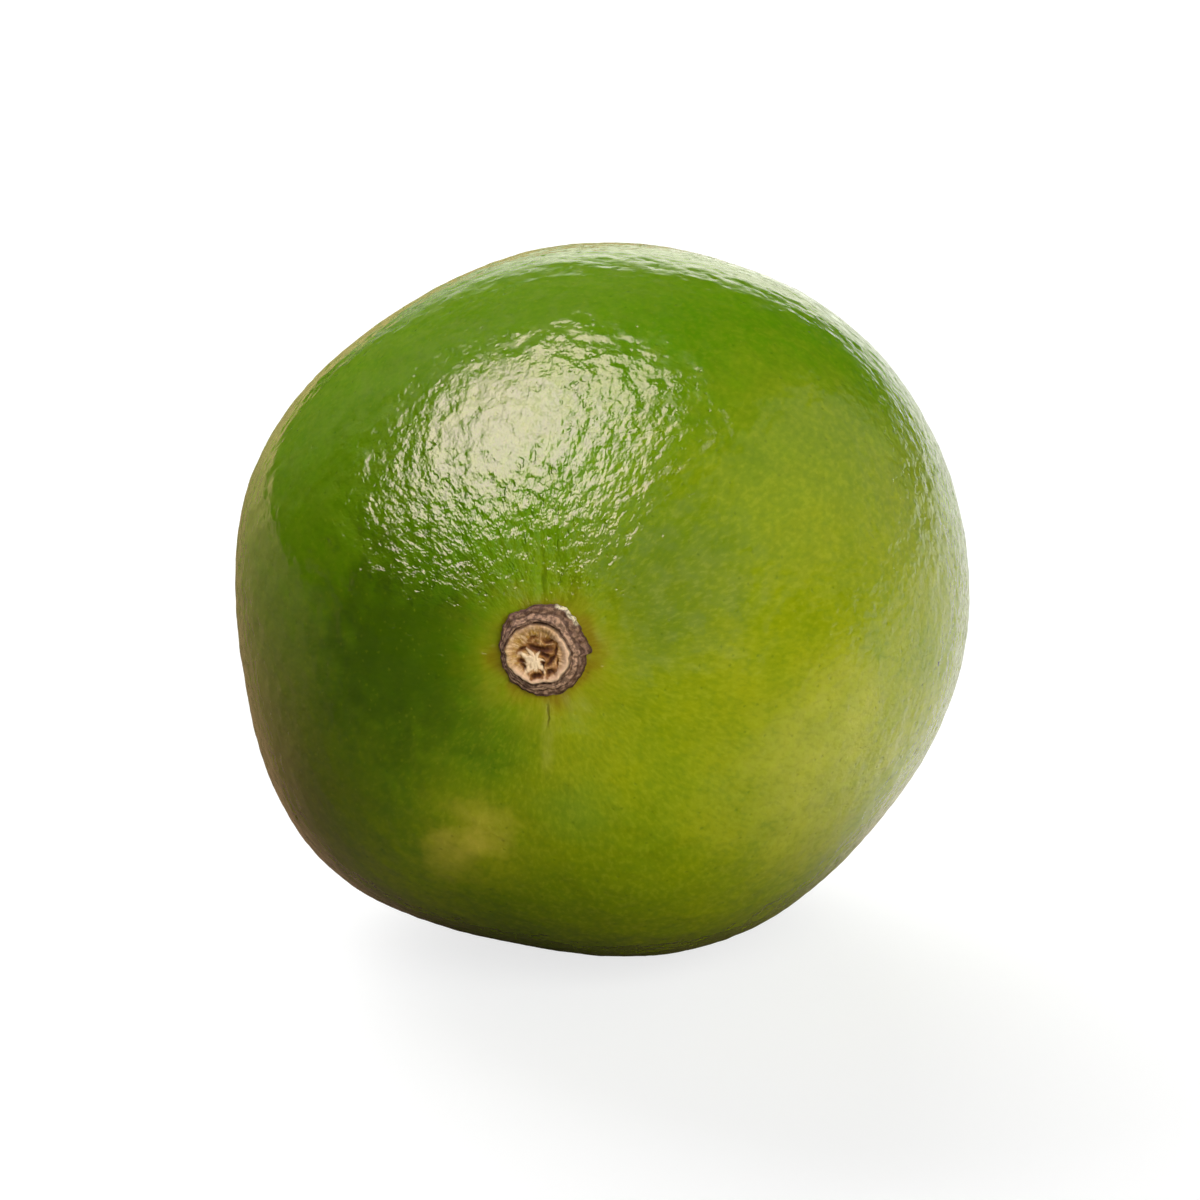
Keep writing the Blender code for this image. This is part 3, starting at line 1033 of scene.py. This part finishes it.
def add_halos(skin, colour, threads):
    """Rings of colour round the stem end and the stylar end, crossed by radial threads."""
    worn = skin.ramp(skin.dot(skin.upright, WORN_SIDE), *WORN_STEP)
    colour = skin.blend(colour, 0.45, skin.spot(STEM_END, *OLIVE_HALO), OLIVE)
    yellow = skin.times(skin.spot(STEM_END, *YELLOW_HALO), worn)
    colour = skin.blend(colour, 0.60, yellow, HALO_YELLOW)
    pale = skin.times(skin.spot(STEM_END, *THREAD_HALO), threads)
    colour = skin.blend(colour, 0.28, skin.times(pale, worn), FIBRE_PALE)
    colour = skin.blend(colour, 0.35, skin.spot(CALYX_MIDDLE, *CALYX_STAIN), HALO_BROWN)
    between = skin.ramp(threads, 1.0, 0.0, 0.5, 1.0)
    brown = skin.times(skin.spot(STEM_END, *BROWN_HALO), between)
    colour = skin.blend(colour, 0.55, skin.times(brown, worn), HALO_BROWN)
    along = skin.ramp(threads, 0.0, 1.0, 0.4, 1.0)
    behind = skin.times(skin.spot(STYLAR_END, *STYLAR_HALO), along)
    colour = skin.blend(colour, 0.45, behind, OLIVE)
    return skin.blend(colour, 0.75, skin.spot(STYLAR_END, *STYLAR_TIP), HALO_BROWN)


def add_blemish(skin, colour):
    """The worn tan mark below the button."""
    for centre, radius in BLEMISH:
        uneven = skin.ramp(skin.mottle(*BLEMISH_MOTTLE), 0.0, 1.0, 0.6, 1.0)
        worn = skin.times(skin.spot(centre, radius, *BLEMISH_EDGE), uneven)
        colour = skin.blend(colour, 0.52, worn, BLEMISH_TAN)
    return colour


def radial_marks(skin):
    """Masks of the crack below the button, the skin beside it and the valley above it."""
    across, along = skin.parts["X"], skin.parts["Y"]
    fineness, width = CRACK_WAVER
    waver = skin.math("SUBTRACT", skin.noise(skin.upright, fineness, 2.0), 0.5)
    waver = skin.times(waver, width)
    upper = skin.ramp(skin.parts["Z"], *UPPER_HALF)

    def mark(away, sides, ends):
        length = skin.times(skin.ramp(along, *ends[0]), skin.ramp(along, *ends[1]))
        return skin.times(skin.times(skin.ramp(away, *sides), length), upper)

    away = skin.math("SUBTRACT", skin.math("ADD", across, waver), CRACK_SHIFT)
    beside_crack = skin.math("ABSOLUTE", away)
    away = skin.math("ADD", across, skin.math("ADD", waver, VALLEY_SHIFT))
    beside_valley = skin.math("ABSOLUTE", away)
    return (
        mark(beside_crack, CRACK_SIDES, CRACK_ENDS),
        mark(beside_crack, FLANK_SIDES, FLANK_ENDS),
        mark(beside_valley, VALLEY_SIDES, VALLEY_ENDS),
    )


def add_marks(skin, colour, threads, crack, flank):
    """The crack and the pale skin beside it, and a faint ring mark."""
    pale = skin.times(flank, skin.ramp(threads, 0.0, 1.0, 0.5, 1.0))
    colour = skin.blend(colour, 0.45, pale, CRACK_PALE)
    colour = skin.blend(colour, 0.60, crack, CRACK_BROWN)
    inner = skin.spot(RING_MARK, RING_RADIUS * RING_INNER_SHARE, 0.5)
    ring = skin.math("SUBTRACT", skin.spot(RING_MARK, RING_RADIUS, 0.4), inner)
    return skin.blend(colour, 0.5, ring, DARK_MOTTLE)


def add_gland_colour(skin, colour):
    """Pale speckles on some glands, dark pits in the open ones, and the dark specks."""
    core = skin.ramp(skin.values_of("gland"), 0.45, 0.95)
    pale = skin.times(core, skin.ramp(skin.values_of("gland_tone"), 0.45, 1.0))
    colour = skin.blend(colour, 0.15, pale, SPECKLE_PALE)
    dark = skin.times(core, skin.ramp(skin.values_of("open_gland"), 0.3, 0.8))
    colour = skin.blend(colour, 0.35, dark, PIT_GREEN)
    for centre, radius in SPECKS:
        colour = skin.blend(colour, 0.95, skin.spot(centre, radius, 0.4), SPECK_BLACK)
    return colour


def rough_skin(skin):
    """How rough the rind is: 1 above the button, less on its right side, and 0 elsewhere."""
    rough = skin.spot(*ROUGH_SIDE)
    smooth = skin.ramp(skin.spot(*SMOOTH_SPOT), 0.0, 1.0, 1.0, SMOOTH_SHARE)
    rough = skin.times(rough, smooth)
    rough = skin.times(rough, skin.ramp(skin.parts["Y"], *ROUGH_UPWARD))
    slant = skin.math("MULTIPLY_ADD", skin.parts["Y"], LEFTWARD_SLANT, skin.parts["X"])
    rough = skin.times(rough, skin.ramp(slant, *ROUGH_LEFTWARD))
    return skin.math("MAXIMUM", rough, skin.ramp(skin.facing["X"], *ROUGH_RIGHT_SIDE))


def fine_relief(skin, rough):
    """Height of the rind's grain, pebbles and dents, calmer under the lime and in two spots."""
    layers = [(skin.grain(*pattern), heights) for pattern, heights in GRAIN_LAYERS]
    layers.append((skin.noise(skin.upright, PEBBLE_FINENESS, 2.0), PEBBLE_HEIGHTS))
    dents = skin.pattern("dents", Fineness=DENT_FINENESS, Share=DENT_SHARE)
    layers.append((dents, DENT_HEIGHTS))
    height = 0.0
    for pattern, heights in layers:
        strength = skin.ramp(rough, 0.0, 1.0, *heights)
        height = skin.math("MULTIPLY_ADD", pattern, strength, height)
    for centre, radius, least in CALM_SPOTS:
        away = skin.vector("DISTANCE", skin.upright, centre)
        calm = skin.ramp(away, radius / 2, radius, least, 1.0)
        height = skin.times(height, calm)
    return skin.times(height, skin.ramp(skin.facing["Y"], *CALM_UNDERSIDE))


def gland_pits(skin, rough):
    """Depth of the glands' pits, deepest where a gland is open or the rind is rough."""
    tone = skin.ramp(skin.values_of("gland_tone"), 0.35, 1.0, 0.0, 1.0)
    depth = skin.math("MULTIPLY_ADD", skin.values_of("open_gland"), OPEN_GLAND_EXTRA, tone)
    depth = skin.times(depth, skin.ramp(rough, 0.0, 1.0, *GLAND_HEIGHTS))
    return skin.times(skin.ramp(skin.values_of("gland"), 0.30, 1.0), depth)


def make_rind_material(groups, place):
    material, tree, shader = new_material("waxy lime rind")
    skin = Skin(tree.tree, groups, upright_place(tree, place))
    size, contrast, share = SUNNED_MOTTLE
    wander = skin.math("SUBTRACT", skin.mottle(size, contrast), 0.5)
    sunny_side = skin.dot(skin.direction, OLIVE_SIDE)
    sunned = skin.math("MULTIPLY_ADD", wander, share, sunny_side)
    threads = skin.pattern("streaks", Fineness=THREAD_FINENESS, Length=THREAD_LENGTH)
    crack, flank, valley = radial_marks(skin)
    colour = add_patches(skin, ground_colour(skin, sunned), sunned)
    colour = add_blemish(skin, add_halos(skin, colour, threads))
    colour = add_marks(skin, colour, threads, crack, flank)
    skin.put(shader, "Base Color", add_gland_colour(skin, colour))
    roughness = skin.ramp(skin.mottle(*WAX_MOTTLE), 0.0, 1.0, *WAX_ROUGHNESS)
    skin.put(shader, "Roughness", roughness)
    skin.put(shader, "IOR", WAX_IOR)

    rough = rough_skin(skin)
    height = skin.math("SUBTRACT", fine_relief(skin, rough), gland_pits(skin, rough))
    height = skin.math("MULTIPLY_ADD", crack, CRACK_DROP, height)
    height = skin.math("MULTIPLY_ADD", valley, VALLEY_DROP, height)
    add_relief(skin, shader, height, RELIEF_UNIT)
    return material


def dry_mottle(tree, groups, upright, size, contrast, detail):
    return tree.group(
        groups["mottle"], Place=upright, Patch_Size=size, Contrast=contrast, Detail=detail
    )


def add_scar_threads(tree, groups, upright, colour):
    """Dark and pale threads that run out from the scar's middle."""
    rays = tree.vector("SUBTRACT", upright, (SCAR_SHIFT[0], SCAR_SHIFT[1], 0.0))
    threads = tree.group(groups["streaks"], Place=rays, Fineness=9.0, Length=0.0007)
    colour = tree.mix(tree.times(tree.ramp(threads, 0.35, 1.0), 0.45), colour, SCAR_RUST)
    return tree.mix(tree.times(tree.ramp(threads, 0.30, 0.0), 0.25), colour, SCAR_CREAM)


def make_scar_material(groups, place):
    material, tree, shader = new_material("dry stem scar")
    upright = upright_place(tree, place)
    hollow = tree.values_of("hollow")
    reach = tree.values_of("reach")
    fibre = dry_mottle(tree, groups, upright, *SCAR_FIBRE)
    flecks = dry_mottle(tree, groups, upright, *SCAR_FLECKS)
    # Painted shade: the scar's face darker and gold-brown on one side
    shaded_side = tree.ramp(tree.dot(upright, SHADED_SCAR_SIDE), *SHADED_SCAR_STEP)
    colour = tree.mix(shaded_side, SCAR_TAN, SCAR_SHADE_GOLD)
    colour = tree.mix(tree.times(fibre, 0.45), colour, SCAR_PINK)
    colour = tree.mix(tree.times(flecks, 0.38), colour, SCAR_RUST)
    colour = add_scar_threads(tree, groups, upright, colour)
    # A pink band round the scar's edge: its own colour, made stronger as painted light on the side
    # away from the painted shade
    rim = tree.times(tree.ramp(reach, 0.74, 0.94), tree.ramp(shaded_side, 0.0, 1.0, 0.80, 0.20))
    colour = tree.mix(rim, colour, SCAR_PINK)
    # The pits darken with depth: partly their own brown, partly painted shade
    colour = tree.mix(tree.ramp(hollow, 0.02, 0.30), colour, SCAR_RUST)
    colour = tree.mix(tree.ramp(hollow, 0.22, 0.75), colour, SCAR_PIT_BROWN_AND_SHADE)
    ridge = tree.times(tree.ramp(tree.values_of("ridge"), 0.15, 0.65), 0.90)
    colour = tree.mix(ridge, colour, SCAR_CREAM)
    # Painted shade on the scar's side wall, down in the groove by the calyx
    colour = tree.mix(tree.times(tree.ramp(reach, 1.01, 1.07), 0.7), colour, CALYX_DARK_AND_SHADE)
    finish_dry_material(tree, shader, colour, tree.ramp(fibre, 0.0, 1.0, 0.60, 0.80))
    add_dry_grain(tree, shader, upright, *SCAR_GRAIN)
    return material


def finish_dry_material(tree, shader, colour, roughness):
    """Gives the shader its colour and a dull finish."""
    tree.put(shader, "Base Color", colour)
    tree.put(shader, "Roughness", roughness)
    tree.put(shader, "Specular IOR Level", DRY_SPECULAR)


def add_dry_grain(tree, shader, upright, fineness, height):
    add_relief(tree, shader, tree.noise(upright, fineness, 4.0, 0.6), height)


def make_calyx_material(groups, place):
    material, tree, shader = new_material("dry calyx")
    upright = upright_place(tree, place)
    reach = tree.values_of("reach")
    patches = dry_mottle(tree, groups, upright, *CALYX_PATCHES)
    flecks = dry_mottle(tree, groups, upright, *CALYX_FLECKS)
    colour = tree.mix(tree.ramp(reach, 0.93, 0.84), CALYX_BROWN, CALYX_PINK)
    colour = tree.mix(tree.times(patches, 0.55), colour, CALYX_PINK)
    # Painted shade in the troughs of the folds
    fold_shade = tree.times(tree.ramp(tree.values_of("fold"), -0.1, -0.8), 0.70)
    colour = tree.mix(fold_shade, colour, CALYX_DARK_AND_SHADE)
    colour = tree.mix(tree.times(flecks, 0.70), colour, CALYX_DARK_AND_SHADE)
    broken = tree.ramp(patches, 0.0, 1.0, 1.0, 0.35)
    # Painted shade in the groove by the scar, broken up by the patches
    groove_shade = tree.times(tree.ramp(reach, 0.760, 0.725), broken)
    colour = tree.mix(groove_shade, colour, CALYX_DARK_AND_SHADE)
    # Painted shade where the calyx's edge meets the skin
    colour = tree.mix(tree.times(tree.ramp(reach, 0.965, 1.0), 0.75), colour, CALYX_DARK_AND_SHADE)
    chip = tree.times(pale_chip(tree, upright, flecks), tree.ramp(reach, 0.935, 0.96))
    colour = tree.mix(chip, colour, CALYX_CREAM)
    finish_dry_material(tree, shader, colour, tree.ramp(patches, 0.0, 1.0, 0.65, 0.85))
    add_dry_grain(tree, shader, upright, *CALYX_GRAIN)
    return material


def pale_chip(tree, upright, flecks):
    """Mask of the turns at the calyx's upper right where its edge is chipped pale."""
    parts = tree.add("ShaderNodeSeparateXYZ", Vector=upright).outputs
    turn = tree.math("ARCTAN2", parts["Y"], parts["X"])
    chip = tree.times(tree.ramp(turn, *CHIP_START), tree.ramp(turn, *CHIP_END))
    return tree.times(chip, tree.ramp(flecks, 1.0, 0.3, 0.3, 1.0))


def view_axes():
    """Directions to the camera, to the picture's right and to its top."""
    level = Vector((sin(CAMERA_AZIMUTH), -cos(CAMERA_AZIMUTH), 0))
    back = level * cos(CAMERA_ELEVATION) + Vector((0, 0, sin(CAMERA_ELEVATION)))
    right = Vector((cos(CAMERA_AZIMUTH), sin(CAMERA_AZIMUTH), 0))
    return back, right, back.cross(right)


def floor_colour(tree, middle):
    """What the lime sees of the floor: bright on its right as painted light, brownish behind as a
    painted reflection, and dim elsewhere as painted shade.
    """
    position = tree.add("ShaderNodeNewGeometry").outputs["Position"]
    offset = tree.vector("SUBTRACT", position, middle)
    back, right, _ = view_axes()
    ahead = tree.dot(offset, back)
    aside = tree.dot(offset, right)
    # Painted shade near the lime, and a brown painted reflection behind it
    colour = tree.mix(tree.ramp(ahead, *PAINTED_REFLECTION_STEP), FLOOR_PAINTED_SHADE, FLOOR_PAINTED_REFLECTION)
    # A pool of painted light on the right
    bright = tree.times(tree.ramp(ahead, *PAINTED_LIGHT_STEPS[0]), tree.ramp(aside, *PAINTED_LIGHT_STEPS[1]))
    return tree.mix(bright, colour, FLOOR_PAINTED_LIGHT)


def add_floor(middle):
    """A plain pale floor, which the lime sees darker than the viewer does, as painted shade with
    painted light.
    """
    data = bpy.data.meshes.new("pale_floor")
    half = FLOOR_SIZE / 2
    corners = [(-half, -half, 0), (half, -half, 0), (half, half, 0), (-half, half, 0)]
    data.from_pydata(corners, [], [(0, 1, 2, 3)])
    material, tree, shader = new_material("pale floor")
    seen = tree.add("ShaderNodeLightPath").outputs["Is Camera Ray"]
    tree.put(shader, "Base Color", tree.mix(seen, floor_colour(tree, middle), FLOOR_WHITE))
    tree.put(shader, "Roughness", 0.9)
    tree.put(shader, "Specular IOR Level", 0.0)
    tree.put(shader, "Emission Color", FLOOR_GLOW)
    tree.put(shader, "Emission Strength", tree.times(seen, FLOOR_GLOW_STRENGTH))
    data.materials.append(material)
    floor = bpy.data.objects.new("pale_floor", data)
    bpy.context.collection.objects.link(floor)


def add_camera(middle):
    back = view_axes()[0]
    data = bpy.data.cameras.new("camera")
    data.sensor_width = SENSOR_WIDTH
    data.lens = SENSOR_WIDTH * CAMERA_DISTANCE / VIEW_WIDTH
    data.clip_start = 0.05
    data.clip_end = 20
    camera = bpy.data.objects.new("camera", data)
    bpy.context.collection.objects.link(camera)
    camera.location = middle + back * CAMERA_DISTANCE
    camera.rotation_euler = (-back).to_track_quat("-Z", "Y").to_euler()
    bpy.context.scene.camera = camera


def in_view(towards):
    """A direction that is given to the picture's right, up and to the viewer."""
    back, right, up = view_axes()
    return (right * towards[0] + up * towards[1] + back * towards[2]).normalized()


def add_panel(name, place, towards, along, size, strength, colour=(1, 1, 1)):
    """A flat soft light that looks back from this direction, its long side along another."""
    data = bpy.data.lights.new(name, "AREA")
    data.shape = "RECTANGLE"
    data.size, data.size_y = size
    data.energy = strength * pi * size[0] * size[1]
    data.color = colour
    lamp = bpy.data.objects.new(name, data)
    bpy.context.collection.objects.link(lamp)
    face = towards.normalized()
    side = face.cross(along).normalized()
    turn = Matrix((side.cross(face), side, face)).transposed()
    lamp.matrix_world = Matrix.Translation(place) @ turn.to_4x4()
    return lamp


def add_lights(middle):
    """Soft lights that shine on the lime, and the panels that it mirrors."""
    up = view_axes()[2]
    for name, towards, strength in LAMPS:
        direction = in_view(towards)
        place = middle + direction * LAMP_DISTANCE
        lamp = add_panel(name, place, direction, up, (LAMP_SIZE, LAMP_SIZE), strength)
        lamp.visible_glossy = False
    level = in_view(PANEL_LEVEL)
    for name, towards, distance, size, strength, tint in PANELS:
        direction = in_view(towards)
        place = middle + direction * distance
        lamp = add_panel(name, place, direction, level, size, strength, tint)
        lamp.visible_diffuse = False


def pale_sheet(tree, direction):
    """Mask of the pale sheet behind the lime, as the lime sees it."""
    back, right, up = view_axes()
    above, aside = tree.dot(direction, up), tree.dot(direction, right)
    low = tree.times(tree.ramp(above, *SHEET_LOW[0]), tree.ramp(above, *SHEET_LOW[1]))
    low = tree.times(low, tree.ramp(aside, *SHEET_LOW[2]))
    high = tree.times(tree.ramp(above, *SHEET_HIGH[0]), tree.ramp(aside, *SHEET_HIGH[1]))
    away = tree.dot(direction, -back)
    away = tree.math("MULTIPLY_ADD", high, SHEET_HIGH_REACH, away)
    away = tree.math("MULTIPLY_ADD", low, SHEET_LOW_REACH, away)
    return tree.times(tree.ramp(away, *SHEET_EDGE), tree.ramp(aside, *SHEET_LEFT_EDGE))


def white_wall(tree, direction):
    """How bright the white wall on the right is, as the lime sees it."""
    back, right, up = view_axes()
    wall = WALL_STRENGTH
    for (aside, above, nearer), softness in WALL_SIDES:
        inward = right * aside + up * above + back * nearer
        wall = tree.times(tree.ramp(tree.dot(direction, inward), -softness, softness), wall)
    return wall


def add_surroundings():
    """The sheet and the wall for mirrored rays. The rest is dark, and the viewer sees white."""
    world = bpy.data.worlds.new("studio")
    bpy.context.scene.world = world
    world.use_nodes = True
    world.node_tree.nodes.clear()
    tree = Tree(world.node_tree)
    direction = tree.add("ShaderNodeTexCoord").outputs["Generated"]
    rays = tree.add("ShaderNodeLightPath").outputs
    behind, wall = pale_sheet(tree, direction), white_wall(tree, direction)
    glow = tree.math("MULTIPLY_ADD", behind, SHEET_STRENGTH, wall)
    glow = tree.math("MULTIPLY_ADD", glow, rays["Is Glossy Ray"], ROOM_GLOW)
    white = tree.times(rays["Is Camera Ray"], VIEWER_WHITE)
    colour = tree.mix(rays["Is Camera Ray"], SHEET_TINT, FLOOR_GLOW)
    strength = tree.math("MAXIMUM", glow, white)
    background = tree.add("ShaderNodeBackground", Color=colour, Strength=strength)
    tree.add("ShaderNodeOutputWorld", Surface=background.outputs["Background"])


def set_picture():
    scene = bpy.context.scene
    scene.view_settings.view_transform = "Standard"
    scene.view_settings.look = "None"
    scene.view_settings.exposure = 0.0


def main():
    groups = {
        "spot": spot_group(),
        "mottle": mottle_group(),
        "streaks": streak_group(),
        "grain": drawn_grain_group(),
        "dents": dents_group(),
    }
    rind, place = make_rind()
    rind.data.materials.append(make_rind_material(groups, place))
    make_scar(place).data.materials.append(make_scar_material(groups, place))
    make_calyx(place).data.materials.append(make_calyx_material(groups, place))
    middle = Vector(place)
    add_floor(middle)
    add_camera(middle)
    add_lights(middle)
    add_surroundings()
    set_picture()


main()
